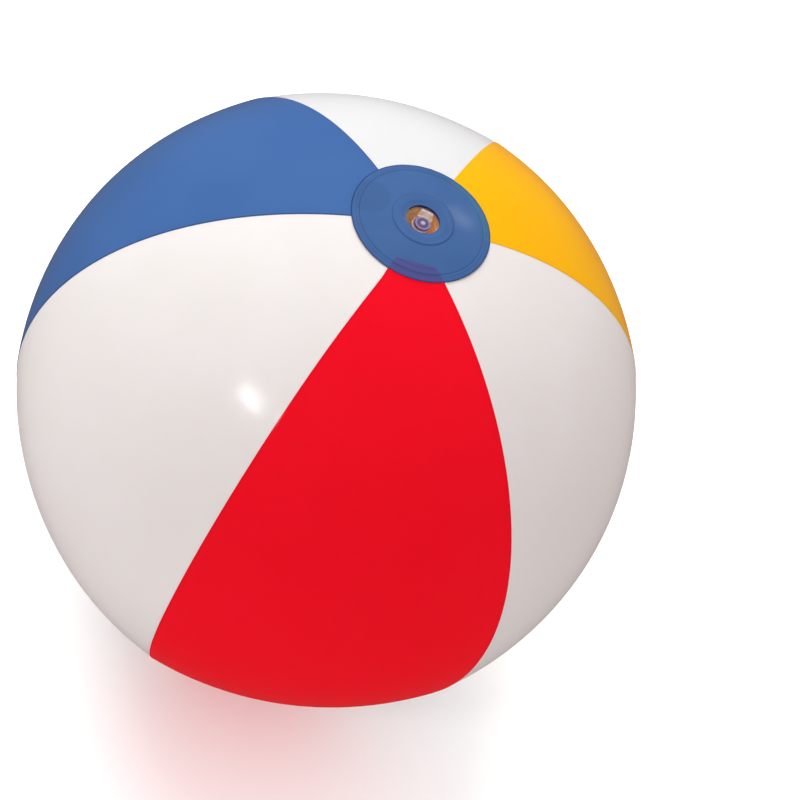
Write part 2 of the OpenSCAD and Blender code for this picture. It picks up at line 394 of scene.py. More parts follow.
def panel(name, azimuth, radius, tip_x, coloured):
    """One gore with both of its sides, turned to its azimuth. Its height over the ideal panel is
    puckers + swell + bulge - the marks of the weld - the tuck under the disc. The columns crowd
    towards the seams as tanh."""
    start = math.asin(tip_x / radius)
    polar = np.linspace(start, math.pi - start, ROWS)[:, None]
    spread = np.tanh(EDGE_CROWDING * np.linspace(-1.0, 1.0, COLS)) / math.tanh(EDGE_CROWDING)
    across = SEAM_ANGLE * spread[None, :]
    from_tip = np.minimum(polar - start, math.pi - start - polar)
    place, normal = panel_point(radius, polar, across, 1.0 - smooth(from_tip, 0.0, TIP_BEND))
    along = radius * polar
    reach = np.hypot(place[..., 0], place[..., 1])
    edge = (SEAM_ANGLE - np.abs(across)) * reach
    calm = smooth(reach, disc_r + 1.0 * MM, disc_r + 25.0 * MM)
    phases = rng.uniform(0.0, 2.0 * math.pi, (2, 4))
    side = np.where(across > 0, puckers(along, edge, phases[0]), puckers(along, edge, phases[1]))
    lean = across / SEAM_ANGLE
    first, second, third, fourth = rng.uniform(0.0, 2.0 * math.pi, 4)
    swell = (np.sin(along / (31.0 * MM) + first) * np.cos(2.6 * lean + second)
             + np.sin(along / (53.0 * MM) + third) * np.cos(1.3 * lean + fourth))
    height = calm * (side + 0.5 * SWELL_H * swell * smooth(edge, 0.0, 20.0 * MM))
    bulge = BULGES.get(name, WHITE_BULGE) * np.cos(0.5 * math.pi * lean)
    height = height + bulge * smooth(reach, disc_r, disc_r + 70.0 * MM)
    if coloured:
        height = height - PRESSED_H * bump(edge, 0.0, PRESSED_WIDTH)
    height = height - WELD_LINE_H * bump(edge, 2.0 * MM, 0.9 * MM)
    c, s = math.cos(math.radians(azimuth)), math.sin(math.radians(azimuth))
    turn = np.array([[c, s, 0.0], [-s, c, 0.0], [0.0, 0.0, 1.0]])
    ideal = as_welded(place @ turn)
    from_axis = np.hypot(ideal[..., 0], ideal[..., 1])
    height = height - TUCK * (1.0 - smooth(from_axis, disc_r - 3.0 * MM, disc_r - 0.5 * MM))
    outer = place + normal * height[..., None]
    inner = outer - normal * FILM
    maps = np.stack([edge * np.ones_like(along), along * np.ones_like(edge)], axis=-1)
    piece = skin(name + "_film", as_welded(outer @ turn), as_welded(inner @ turn), maps=maps)
    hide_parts(name)
    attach(piece, "ball")
    return piece


PANELS = {"panel_red": (-90.0, "red_film"), "panel_white_right": (-30.0, "white_film"),
          "panel_yellow": (30.0, "yellow_film"), "panel_white_back": (90.0, "white_film"),
          "panel_blue": (150.0, "blue_film"), "panel_white_left": (210.0, "white_film")}
films = {}
for name, (azimuth, slot_name) in PANELS.items():
    coloured = "white" not in name
    films[name] = panel(name, azimuth, colour_r if coloured else white_r,
                        TIP_X.get(name, WHITE_TIP), coloured)
print("panels:", {name: len(piece.data.polygons) for name, piece in films.items()})

# %% [markdown]
# ## The end discs
# A disc of film is drawn tight over the tips of the panels. It is a shallow cap, so its section is
# a function of the radius alone: the CAD's arc, plus the marks that welding leaves. There are two
# narrow weld lines inside its rim. In the upper disc the valve's flange also lifts the middle in
# one step, and from there it dips in a shallow bowl to the hole.

# %% Sections of the discs
DISC_ROWS = 190
DISC_COLS = 240
flange_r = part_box("valve_flange")[1].x
flat_r = flange_r + 0.5 * MM
hole_r = 8.5 * MM
FLANGE_STEP = 0.45 * MM
BOWL = 0.5 * MM
BOWL_R = 11.9 * MM
INNER_WELD = 0.890 * disc_r
OUTER_WELD = 0.935 * disc_r
GROOVES = [(INNER_WELD, 0.16 * MM, 0.45 * MM), (OUTER_WELD, 0.08 * MM, 0.30 * MM)]
FLANGE_GROOVES = [(12.1 * MM, 0.06 * MM, 0.35 * MM), (13.4 * MM, 0.05 * MM, 0.3 * MM)]
rim_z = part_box("valve_disc")[0].z + FILM


def cap_height(r):
    """Height of the cap: flat to flat_r, then an arc of a circle down to the rim. The circle
    passes through (flat_r, flat_z) and (disc_r, rim_z) with its middle on the axis, so its
    middle's height is ((disc_r^2 - flat_r^2) / (flat_z - rim_z) - flat_z - rim_z) / -2."""
    middle = -((disc_r ** 2 - flat_r ** 2) / (flat_z - rim_z) - flat_z - rim_z) / 2.0
    radius = math.hypot(flat_r, flat_z - middle)
    return middle + np.sqrt(radius ** 2 - np.maximum(r, flat_r) ** 2)


def disc(name, inner_r, valve):
    """A disc of film, revolved from inner_r to its rim: the cap's height less each groove's bell,
    plus a small ripple sin(31 turn + 2 sin(5 turn)) at the rim. The valve's disc is lifted by the
    flange's step and lowered by the bowl, each through a smooth step of the radius."""
    share = np.linspace(0.0, 1.0, DISC_ROWS)
    r = (inner_r + (disc_r - inner_r) * share)[:, None]
    turn = (2.0 * math.pi * np.arange(DISC_COLS) / DISC_COLS)[None, :]
    z = cap_height(r) + 0.0 * turn
    for middle, depth, width in GROOVES + (FLANGE_GROOVES if valve else []):
        z = z - depth * bump(r, middle, width)
    z = z - 0.10 * MM * smooth(r, 0.94 * disc_r, 0.98 * disc_r)
    ripple = np.sin(31.0 * turn + 2.0 * np.sin(5.0 * turn))
    z = z + 0.05 * MM * ripple * smooth(r, 0.86 * disc_r, disc_r)
    if valve:
        z = z + FLANGE_STEP * (1.0 - smooth(r, flange_r - 0.1 * MM, flange_r + 0.8 * MM))
        z = z - BOWL * (1.0 - smooth(r, hole_r + 0.3 * MM, BOWL_R))
    outer = np.stack([r * np.cos(turn), r * np.sin(turn), z], axis=-1)
    inner = outer - FILM * UPWARD
    maps = np.stack([r + 0.0 * turn, turn + 0.0 * r], axis=-1)
    if not valve:
        flip = np.array([1.0, -1.0, -1.0])
        outer, inner = outer * flip, inner * flip
    piece = skin(name + "_film", outer, inner, ring=True, maps=maps)
    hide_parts(name)
    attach(piece, "ball")
    return piece


discs = {"valve_disc": disc("valve_disc", hole_r, True),
         "base_disc": disc("base_disc", 0.0, False)}
print("discs:", {name: len(piece.data.polygons) for name, piece in discs.items()})

# %% [markdown]
# ## The valve
# The valve is pushed in: its stem has sunk into the ball, and the soft skirt round it has turned
# inside out. The stopper closes the stem's mouth. Its strap is a broad tongue that stands up in a
# loop between the head and the stem's lip, squeezed against the skirt. All of it is soft, so it
# sits a little askew in its hole.

# %% Turned mouldings
mouth_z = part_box("valve_stem")[1].z
foot_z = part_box("valve_stem")[0].z
ring_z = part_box("valve_skirt")[1].z
heel_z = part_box("valve_skirt")[0].z
flange_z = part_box("valve_flange")[1].z
stem_r = 4.3 * MM
bore_r = 2.8 * MM
head_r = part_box("stopper")[1].x
GAP = 0.05 * MM
head_z = mouth_z + GAP
ring_r = hole_r + 0.2 * MM
HINGE_INSET = 2.0 * MM
HINGE_RISE = 0.45 * MM
strap_azimuth = math.radians(70.0)
strap_out = np.array([math.cos(strap_azimuth), math.sin(strap_azimuth), 0.0])
strap_side = np.array([-strap_out[1], strap_out[0], 0.0])
level_right = unit([right[0], right[1], 0.0])
stem_askew = 0.4 * MM * level_right
stopper_askew = 0.9 * MM * level_right
strap_askew = 0.6 * MM * level_right


def shifted(piece, offset):
    """The piece with its points moved by offset, its own origin left where it is."""
    piece.data.transform(Matrix.Translation(Vector(offset)))
    return piece


def plug_r(z):
    """Radius of the plug at height z: inside the arc that it swings along about the strap's hinge,
    sqrt(arc^2 - (hinge_z - z)^2) - hinge_r, so that it leaves the bore without touching it."""
    hinge_r, hinge_z = hole_r - HINGE_INSET, mouth_z + HINGE_RISE
    arc = math.hypot(hinge_r + bore_r, hinge_z - mouth_z) - GAP
    return np.minimum(np.sqrt(arc ** 2 - (hinge_z - z) ** 2) - hinge_r, bore_r - GAP)


def make_flange():
    """The flange in turned section: a plate 0.6 mm thick with a bevelled edge, dished with the
    disc's bowl, and the ring that the skirt hangs from."""
    under_z = flange_z - 0.6 * MM
    corners = [(ring_r, flange_z - BOWL, 0.1), (BOWL_R, flange_z, 0.5),
               (flange_r, flange_z, 0.1), (flange_r, flange_z - 0.3 * MM, 0.1),
               (flange_r - 1.5 * MM, under_z, 0.3), (ring_r + 0.6 * MM, under_z, 0.3),
               (ring_r + 0.5 * MM, ring_z, 0.1), (ring_r, ring_z, 0.1)]
    return lathe("flange_moulding", rounded(corners, closed=True), turns=160)


def make_skirt():
    """The skirt with the soft folds it takes when it is turned in: nine and fourteen waves round
    it, whose depth goes as sin(pi * share) of the way down, so it is greatest half way."""
    outside = ring_r + 0.5 * MM
    knee = ring_z - 2.5 * MM
    corners = [(ring_r, ring_z, 0.1), (outside, ring_z, 0.1),
               (outside, knee - 0.25 * MM, 1.0), (stem_r + 1.1 * MM, heel_z, 0.2),
               (stem_r + 1.0 * MM, heel_z + 1.0 * MM, 0.3), (ring_r, knee, 1.2)]
    section = rounded(corners, closed=True, steps=12)

    def folds(turn, z):
        """The change of radius at an azimuth and a height."""
        share = np.clip((ring_z - z) / (ring_z - heel_z), 0.0, 1.0)
        nine = np.sin(9.0 * turn + 1.3 * np.sin(2.0 * turn))
        fourteen = 0.5 * np.sin(14.0 * turn + 6.0 * share)
        return -0.16 * MM * (1.0 + nine + fourteen) * np.sin(math.pi * share)

    return lathe("skirt_moulding", section, turns=200, wobble=folds)


def make_stem():
    """The stem in turned section: a tube with a lip round its mouth and a collar for the skirt."""
    lip_r, collar_r = stem_r + 0.5 * MM, stem_r + 0.9 * MM
    collar_z = mouth_z - 8.0 * MM
    corners = [(bore_r, mouth_z, 0.2), (lip_r, mouth_z, 0.35),
               (lip_r, mouth_z - 0.8 * MM, 0.25), (stem_r, mouth_z - 1.0 * MM, 0.2),
               (stem_r, collar_z + 0.1 * MM, 0.3), (collar_r, collar_z, 0.3),
               (collar_r, collar_z - 1.0 * MM, 0.3), (stem_r, collar_z - 1.1 * MM, 0.3),
               (stem_r, foot_z, 0.4), (bore_r, foot_z, 0.2)]
    return lathe("stem_moulding", rounded(corners, closed=True), turns=96)


def make_stopper():
    """The stopper in turned section: a head with a raised rim and a dimpled pip, and the tapered
    plug under it, whose radius is plug_r at each height."""
    top = head_z + 1.2 * MM
    corners = [(0.0, top + 0.22 * MM, 0.0), (0.55 * MM, top + 0.30 * MM, 0.2),
               (1.15 * MM, top + 0.30 * MM, 0.25), (1.30 * MM, top - 0.15 * MM, 0.15),
               (2.85 * MM, top - 0.18 * MM, 0.2), (3.15 * MM, top, 0.15),
               (head_r, top, 0.35), (head_r, head_z, 0.2),
               (bore_r - GAP, head_z, 0.1)]
    depths = np.linspace(head_z - 0.3 * MM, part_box("stopper")[0].z, 12)
    plug = [(float(plug_r(z)), z) for z in depths] + [(0.0, depths[-1])]
    return lathe("stopper_moulding", np.concatenate([rounded(corners)[:-4], plug]), turns=96)


# %% The strap
STRAP_LINE = [(2.9, 0.75), (4.2, 0.95), (5.4, 1.65), (6.4, 2.3), (7.05, 2.35), (7.2, 1.7),
              (7.1, 0.8), (6.5, -0.15), (5.4, -0.45), (4.3, -0.5)]
STRAP_WIDTHS = [7.2, 7.4, 7.0, 6.5, 6.1, 5.8, 5.4, 5.0, 4.7, 4.4]
STRAP_T = 0.6 * MM
STRAP_ROWS = 90
STRAP_COLS = 33
RIDGE_H = 0.20 * MM


def through(knots, count):
    """A smooth line through the knots: a Catmull-Rom curve, whose direction at each knot is that
    from the knot before it to the one after. Between b and c, with a before and d after them, it
    is half of 2b + (c - a) t + (2a - 5b + 4c - d) t^2 + (3b - a - 3c + d) t^3."""
    k = np.array(knots, float)
    k = np.concatenate([2 * k[:1] - k[1:2], k, 2 * k[-1:] - k[-2:-1]])
    place = np.linspace(0.0, len(knots) - 1 - 1e-9, count)
    i, t = place.astype(int), (place % 1.0)[:, None]
    a, b, c, d = k[i], k[i + 1], k[i + 2], k[i + 3]
    return 0.5 * (2 * b + (c - a) * t + (2 * a - 5 * b + 4 * c - d) * t ** 2
                  + (3 * b - a - 3 * c + d) * t ** 3)


def make_strap():
    """The strap as a band along its line, which is given in mm out from the valve's axis and up
    from the stem's mouth. Its half thickness is STRAP_T / 2 * sqrt(1 - 0.75 across^4), so it thins
    towards its sides. Moulded ridges, RIDGE_H * cos(5 pi across), cross its bend for the fingers."""
    line = through(STRAP_LINE, STRAP_ROWS) * MM
    width = through(np.array(STRAP_WIDTHS)[:, None], STRAP_ROWS) * MM
    ahead = np.gradient(line, axis=0)
    ahead /= np.linalg.norm(ahead, axis=1, keepdims=True)
    normal = np.stack([-ahead[:, 1], ahead[:, 0]], axis=1)
    across = np.sin(np.linspace(-math.pi / 2, math.pi / 2, STRAP_COLS))[None, :]
    bend = bump(np.linspace(0.0, 1.0, STRAP_ROWS)[:, None], 0.42, 0.13)
    ridges = RIDGE_H * bend * np.cos(5.0 * math.pi * across) * (1.0 - across ** 6)
    half = 0.5 * STRAP_T * np.sqrt(1.0 - 0.75 * across ** 4)
    faces = []
    for side in (half + ridges, -half + 0.6 * ridges):
        flat = line[:, None, :] + normal[:, None, :] * side[..., None]
        faces.append(flat[..., :1] * strap_out + (flat[..., 1:] + mouth_z) * UPWARD
                     + 0.5 * width[:, :, None] * across[..., None] * strap_side)
    return skin("strap_moulding", faces[0], faces[1], sharp=60.0)


# %% The valve's pieces on their bodies
flange = make_flange()
skirt = make_skirt()
stem = shifted(make_stem(), stem_askew)
stopper = shifted(make_stopper(), stopper_askew)
strap = shifted(make_strap(), strap_askew)
for piece, node in ((flange, "valve_flange"), (skirt, "valve_skirt"), (stem, "valve_stem"),
                    (stopper, "stopper"), (strap, "stopper_strap")):
    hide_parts(node)
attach(flange, "ball")
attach(stem, "stem")
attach(stopper, "stopper")
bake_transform(skirt)
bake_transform(strap)
print("valve:", {piece.name: len(piece.data.polygons)
                 for piece in (flange, skirt, stem, stopper, strap)})

# %% [markdown]
# ## Shader sums as Python sums
# A material is a network of nodes, and a formula in it soon takes a dozen of them. A small class
# holds one socket and adds a Math node for each operator, so that a mask reads as the sum it is.
# Colours are mixed with a Mix node, because a Math node would turn them grey.

# %% Sockets with operators
class Wire:
    """One output socket of a network of nodes. Numbers and wires can be mixed in a sum."""

    def __init__(self, nodes, socket):
        self.nodes, self.socket = nodes, socket

    def math(self, operation, *values):
        """The result of a Math node on one or two values."""
        return self.nodes.add("ShaderNodeMath", {"operation": operation}, dict(enumerate(values)))

    def __add__(self, other):
        return self.math("ADD", self, other)

    def __sub__(self, other):
        return self.math("SUBTRACT", self, other)

    def __rsub__(self, other):
        return self.math("SUBTRACT", other, self)

    def __mul__(self, other):
        return self.math("MULTIPLY", self, other)

    __radd__, __rmul__ = __add__, __mul__

    def sine(self):
        """The sine of an angle in radians."""
        return self.math("SINE", self)

    def root(self):
        """The square root."""
        return self.math("SQRT", self)

    def step(self, low, high):
        """0 below low and 1 above high, with a smooth ramp between them."""
        return self.nodes.add("ShaderNodeMapRange", {"interpolation_type": "SMOOTHSTEP"},
                              {"Value": self, "From Min": low, "From Max": high})

    def line(self, middle, width):
        """1 at middle and 0 beyond width to either side."""
        return self.step(middle - width, middle) * (1.0 - self.step(middle, middle + width))


class Nodes:
    """The nodes of a material or world, with one method that adds any node."""

    def __init__(self, owner):
        self.owner = owner
        owner.use_nodes = True
        self.tree = owner.node_tree
        self.tree.nodes.clear()

    def add(self, kind, settings=None, sockets=None, out=0):
        """A node of that kind: its settings first, then its sockets by name or number, each a
        wire, a number or a colour. Gives the wire of output out."""
        node = self.tree.nodes.new(kind)
        for key, value in (settings or {}).items():
            setattr(node, key, value)
        for key, value in (sockets or {}).items():
            if isinstance(value, Wire):
                self.tree.links.new(value.socket, node.inputs[key])
            else:
                node.inputs[key].default_value = value
        return Wire(self, node.outputs[out]) if len(node.outputs) > 0 else None

    def parts(self, vector):
        """The x, y and z of a vector."""
        node = self.add("ShaderNodeSeparateXYZ", sockets={0: vector}).socket.node
        return [Wire(self, output) for output in node.outputs]

    def place(self):
        """The point's place in the model, in metres."""
        return self.add("ShaderNodeTexCoord", out=3)

    def film(self):
        """The first two numbers of the UV map that the films carry."""
        return self.parts(self.add("ShaderNodeUVMap", {"uv_map": "film"}))[:2]

    def mix(self, share, a, b):
        """Colour a where share is 0 and b where it is 1."""
        return self.add("ShaderNodeMix", {"data_type": "RGBA"}, {0: share, 6: a, 7: b}, out=2)

    def grain(self, where, size, detail=2.0):
        """Noise about 0.5 whose lumps are about size metres across."""
        return self.add("ShaderNodeTexNoise",
                        sockets={"Vector": where, "Scale": 1.0 / size, "Detail": detail})

    def clouds(self, where, size):
        """Noise made into soft patches: 0 outside them and 1 inside."""
        return self.grain(where, size).step(0.35, 0.65)

    def relief(self, height, distance, strength):
        """A normal that leans as if height stood distance above the surface, by strength."""
        return self.add("ShaderNodeBump",
                        sockets={"Strength": strength, "Distance": distance, "Height": height})

    def end(self, surface):
        """The owner, whose surface is now the given shader."""
        kind = "World" if isinstance(self.owner, bpy.types.World) else "Material"
        self.add("ShaderNodeOutput" + kind, sockets={"Surface": surface})
        return self.owner


# %% Colours as the photograph shows them
LIT = 1.30


def seen(red, green, blue):
    """The colour of a surface that shows on screen as the given colour, 0 to 255, where a white
    card would be LIT times as bright as white. Screen values under 0.04 are divided by 12.92 and
    the others are ((c + 0.055) / 1.055)^2.4."""
    c = np.array([red, green, blue]) / 255.0
    linear = np.where(c <= 0.04045, c / 12.92, ((c + 0.055) / 1.055) ** 2.4)
    return (*(linear / LIT).tolist(), 1.0)


def times(colour, share):
    """The colour at share times its brightness, none of its parts over 1."""
    return (*(min(share * c, 1.0) for c in colour[:3]), 1.0)


# %% [markdown]
# ## PVC film
# The film is smooth, soft and glossy, with pigment all through. Its light comes back from inside
# it, so its colour hardly changes with direction, and only a faint reflection lies on top. A good
# share of the light goes through, so the ball is bright inside, its underside glows, and the floor
# under the red panel turns red. Handling leaves faint dull patches.
#
# Transmission would show the far panels through the near ones, which the photograph doesn't. So a
# glossy body is mixed with a Translucent shader, which scatters the light on its way through.

# %% Soft PVC
PVC_IOR = 1.5
RELIEF = 0.1 * MM
GLOSS = {
    "panel": {"least": 0.12, "range": 0.10, "patches": 25.0 * MM, "detail": 3.0, "mirror": 0.35,
              "grain": 1.4 * MM, "relief": 0.06},
    "disc": {"least": 0.12, "range": 0.12, "patches": 12.0 * MM, "detail": 3.0, "mirror": 0.4,
             "grain": 1.2 * MM, "relief": 0.06},
    "moulding": {"least": 0.22, "range": 0.12, "patches": 4.0 * MM, "detail": 2.0, "mirror": 0.5,
                 "grain": 0.8 * MM, "relief": 0.1},
}


def soft_pvc(tint, kind, through_share, glow):
    """Soft PVC in the colour of the wire tint. Its roughness is least + range * noise, its normal
    leans with a fine grain, and through_share of it is light that comes through in the colour
    glow."""
    n, gloss = tint.nodes, GLOSS[kind]
    where = n.place()
    dull = n.grain(where, gloss["patches"], gloss["detail"])
    body = n.add("ShaderNodeBsdfPrincipled", sockets={
        "Base Color": tint, "Roughness": gloss["least"] + dull * gloss["range"], "IOR": PVC_IOR,
        "Specular IOR Level": gloss["mirror"],
        "Normal": n.relief(n.grain(where, gloss["grain"]), RELIEF, gloss["relief"])})
    through_it = n.add("ShaderNodeBsdfTranslucent", sockets={"Color": glow})
    return n.end(n.add("ShaderNodeMixShader", sockets={0: through_share, 1: body, 2: through_it}))


# %% The panels' film
def film_finish(name, colour, shade, through_share, weld):
    """A panel's film: colour with slow variation towards shade, and a thin line along the seam that
    is darker by the share weld. The line is partly the film's dark cut edge and partly painted shade
    at the seam."""
    n = Nodes(bpy.data.materials.new(name))
    edge, _ = n.film()
    line = 1.0 - edge.step(0.3 * MM, 0.9 * MM)
    tint = n.mix(n.clouds(n.place(), 60.0 * MM) * 0.5, colour, shade)
    # The dark seam line is partly the film's cut edge and partly painted shade along the seam.
    tint = n.mix(line * weld, tint, times(colour, 0.25))
    return soft_pvc(tint, "panel", through_share, times(colour, 1.4))


FILM_COLOURS = {
    "red_film": (times(seen(255, 26, 60), 1.22), times(seen(252, 22, 54), 1.22), 0.76, 0.6),
    "yellow_film": (seen(255, 203, 0), seen(255, 195, 0), 0.45, 0.15),
    "blue_film": (seen(74, 116, 177), seen(66, 108, 170), 0.4, 0.5),
    "white_film": (seen(243, 244, 243), seen(238, 239, 237), 0.5, 0.0),
    # The panel beyond the disc is painted a little greyer than the other white ones, as painted
    # shade: it is the same film.
    "white_film_shaded_back": (times(seen(243, 247, 248), 0.93), times(seen(238, 242, 242), 0.93),
                        0.5, 0.0),
}
film_materials = {name: film_finish(name, *values) for name, values in FILM_COLOURS.items()}
for name, piece in films.items():
    own = "white_film_shaded_back" if name == "panel_white_back" else PANELS[name][1]
    piece.data.materials.append(film_materials[own])
print("film:", {name: piece.data.materials[0].name for name, piece in films.items()})

# %% [markdown]
# ## The disc's film
# The discs are the same blue film. Whatever lies right under it shows a little: the cut end of the
# red panel as a dusky patch, the end of the yellow one as a greenish one, and the end of the blue
# one as a darker one. The patches are bounded by straight cuts and, at the blue end, by an arc.
# A see-through disc would show them too, but they are so faint that masks worked out from the
# same seams give more control over them.

# %% Where things lie under the disc
DISC_BLUE = times(seen(74, 114, 174), 0.74)
PATCH_EDGE = 0.2 * MM


def tree_of(piece):
    """The piece's faces sorted into a tree, in which a line of sight finds its face fast."""
    return BVHTree.FromPolygons([tuple(v.co) for v in piece.data.vertices],
                                [tuple(f.vertices) for f in piece.data.polygons])


disc_tree = tree_of(discs["valve_disc"])
on_disc = {name: on_surface(*POINTS[name], disc_tree) for name in
           ("red_tip_left", "red_tip_right", "blue_tip_end")}


def under_disc(azimuth, reach):
    """Where the line at this azimuth of the ideal ball has come to, reach from the axis."""
    a = math.radians(azimuth)
    r = np.linspace(5.0 * MM, 60.0 * MM, 500)[:, None]
    z = np.sqrt(colour_r ** 2 - r ** 2)
    path = as_welded(np.concatenate([r * math.cos(a), r * math.sin(a), z], axis=1))
    return path[np.argmin(np.abs(np.hypot(path[:, 0], path[:, 1]) - reach))]


# %% Disc film
def disc_finish(name):
    """Blue film with the panels' ends showing through. Each end is a product of masks: 1 on one side
    of each of its cuts. The weld lines, the rim, the flange's step and the bowl's edge are painted
    darker, as painted shade in their grooves and at their edges, each a peak of the radius."""
    n = Nodes(bpy.data.materials.new(name))
    x, y, z = n.parts(n.place())
    r, _ = n.film()

    def left_of(a, b):
        """1 on the left of the line from a to b, 0 on its right, over an edge 0.4 mm wide."""
        dx, dy = unit((b - a)[:2])
        left = (y - float(a[1])) * float(dx) - (x - float(a[0])) * float(dy)
        return left.step(-PATCH_EDGE, PATCH_EDGE)

    tint = n.mix(n.clouds(n.place(), 18.0 * MM) * 0.5, DISC_BLUE, times(DISC_BLUE, 0.88))
    seam = {a: under_disc(a, disc_r) for a in (-120.0, -60.0, 0.0, 60.0)}
    a, b = on_disc["red_tip_left"], on_disc["red_tip_right"]
    red_end = left_of(b, a) * left_of(a, seam[-120.0]) * left_of(seam[-60.0], b)
    yellow_end = left_of(under_disc(0.0, 15.0 * MM), seam[0.0])
    yellow_end = yellow_end * left_of(seam[60.0], under_disc(60.0, 15.0 * MM))
    yellow_end = yellow_end * r.step(0.80 * disc_r, 0.94 * disc_r)
    middle, end = under_disc(150.0, 0.8 * disc_r), on_disc["blue_tip_end"]
    across, along = x - float(middle[0]), y - float(middle[1])
    reach = float(np.linalg.norm((end - middle)[:2]))
    from_middle = (across * across + along * along).root()
    blue_end = 1.0 - from_middle.step(reach - 1.2 * MM, reach + 0.4 * MM)
    top = z.step(0.0, 0.001)
    bands = r.line(0.80 * disc_r, 0.6 * MM) + r.line(0.90 * disc_r, 1.0 * MM)
    tint = n.mix(blue_end * top * 0.5, tint, times(DISC_BLUE, 0.80))
    tint = n.mix(red_end * top, tint, n.mix(bands * 0.45, seen(76, 80, 138), seen(56, 58, 116)))
    tint = n.mix(yellow_end * top * 0.6, tint, seen(62, 112, 140))
    # Painted shade: the weld grooves, the rim's edge, the flange's step and the bowl's edge are
    # painted darker.
    lines = r.line(INNER_WELD, 0.35 * MM) * 0.45 + r.line(OUTER_WELD, 0.3 * MM) * 0.2
    lines = lines + r.step(disc_r - 0.75 * MM, disc_r - 0.15 * MM) * 0.75
    flange_step_shade = r.line(flange_r + 0.45 * MM, 0.4 * MM) * 0.35 + r.line(BOWL_R, 0.3 * MM) * 0.2
    tint = n.mix(lines + top * flange_step_shade, tint, seen(24, 48, 104))
    return soft_pvc(tint, "disc", 0.2, DISC_BLUE)


disc_material = disc_finish("disc_film")
for piece in discs.values():
    piece.data.materials.append(disc_material)
print("disc film:", len(disc_material.node_tree.nodes), "nodes")

# %% [markdown]
# ## The valve's mouldings
# The valve is clear soft PVC. Light comes into it through the ball, so the skirt glows amber in
# bands where its folds lie closer, the strap and the lip are pale, and the thick stopper looks
# lilac. The strap's bend is whiter as a painted highlight, and painted shade darkens the skirt's
# top, the stopper's hollow and the stem's top. The flange is painted dark violet: partly the tint
# of the blue film over it, and partly painted shade on the wall of the hole.

# %% Valve finishes
def soft_finish(name, colour, shade, through_share, bands):
    """Soft clear moulding: milky colour clouded towards shade, darker in bands that follow the
    height where bands is the distance between them, and a share of light through it. Where there are
    bands, its top by the flange's ring also gets painted shade in dark violet."""
    n = Nodes(bpy.data.materials.new(name))
    where = n.place()
    _, _, z = n.parts(where)
    share = n.clouds(where, 2.5 * MM)
    if bands:
        wave = (z * (2.0 * math.pi / bands) + n.grain(where, 6.0 * MM) * 5.0).sine()
        share = (wave * 0.5 + 0.5) * share
    tint = n.mix(share, colour, shade)
    if bands:
        # Painted shade: the skirt's top by the flange's ring is painted dark violet.
        ring_shade = z.step(ring_z - 1.3 * MM, ring_z - 0.4 * MM)
        tint = n.mix(ring_shade * 0.85, tint, seen(60, 54, 106))
    return soft_pvc(tint, "moulding", through_share, colour)


VALVE_FINISHES = [
    # The flange's dark violet is partly the blue film's tint and partly painted shade on the hole's
    # wall.
    (flange, seen(70, 72, 146), seen(44, 48, 118), 0.3, 0.0),
    (skirt, times(seen(255, 230, 190), 1.28), seen(206, 120, 66), 0.76, 2.2 * MM),
    (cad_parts["check_flap"], seen(226, 214, 206), seen(206, 190, 180), 0.4, 0.0),
]
for piece, *values in VALVE_FINISHES:
    piece.data.materials.clear()
    piece.data.materials.append(soft_finish(piece.name + "_pvc", *values))


def round_axis(n, offset):
    """A point's height, and its distance from the valve's axis moved by offset, a little uneven."""
    where = n.place()
    x, y, z = n.parts(where)
    across, along = x - float(offset[0]), y - float(offset[1])
    uneven = (n.grain(where, 2.0 * MM) - 0.5) * 0.5 * MM
    return z, (across * across + along * along).root() + uneven


def stopper_finish(name):
    """The stopper's head is painted dark in its ring-shaped hollow, as painted shade there; its rim
    and its pip are paler."""
    n = Nodes(bpy.data.materials.new(name))
    z, r = round_axis(n, stopper_askew)
    # Painted shade: the ring-shaped hollow on top of the head is painted dark.
    hollow = r.step(1.15 * MM, 1.45 * MM) * (1.0 - r.step(2.7 * MM, 3.2 * MM))
    pale = n.mix(r.step(1.6 * MM, 2.4 * MM), seen(190, 180, 200), seen(150, 138, 182))
    tint = n.mix(hollow * z.step(head_z + 0.5 * MM, head_z + 0.6 * MM), pale, seen(100, 88, 130))
    return soft_pvc(tint, "moulding", 0.3, seen(170, 158, 196))


def stem_finish(name):
    """The lip's outer edge catches the light, and its flat top lies in the head's shadow."""
    n = Nodes(bpy.data.materials.new(name))
    z, r = round_axis(n, stem_askew)
    shade = (1.0 - r.step(4.0 * MM, 4.35 * MM)) * z.step(mouth_z - 0.6 * MM, mouth_z - 0.3 * MM)
    pale = n.mix(n.clouds(n.place(), 2.5 * MM), seen(246, 218, 216), seen(224, 190, 196))
    tint = n.mix(shade * 0.85, pale, seen(84, 74, 104))
    return soft_pvc(tint, "moulding", 0.4, seen(236, 204, 206))


def strap_finish(name):
    """Pale amber near the head, and whitish where the strap bends over, as a painted highlight on
    the bend.
    """
    n = Nodes(bpy.data.materials.new(name))
    x, y, _ = n.parts(n.place())
    out = x * float(strap_out[0]) + y * float(strap_out[1])
    clouds = n.clouds(n.place(), 1.6 * MM)
    near = n.mix(clouds, seen(238, 216, 186), seen(214, 178, 160))
    # Painted highlight: the far colour whitens the strap's bend where it catches the light.
    far = n.mix(clouds, seen(250, 242, 250), seen(224, 208, 226))
    tint = n.mix(out.step(5.6 * MM, 6.8 * MM), near, far)
    return soft_pvc(tint, "moulding", 0.4, seen(236, 220, 206))


for piece, finish in ((stopper, stopper_finish), (stem, stem_finish), (strap, strap_finish)):
    piece.data.materials.append(finish(piece.name + "_pvc"))
print("valve finishes:", [piece.data.materials[0].name
                          for piece in (flange, skirt, stem, stopper, strap)])

# %% [markdown]
# ## Floor and light
# A white studio with most of its light from above, so the floor is brighter than white except
# close under the ball. One large softbox beyond the ball, to its left and above, shades the film
# from the far side to the near one. It is kept out of reflections, so that only two bright marks
# show on the film. They are mirror images of small softboxes, each standing where the line of
# sight goes on to after it is mirrored in the surface at that mark.

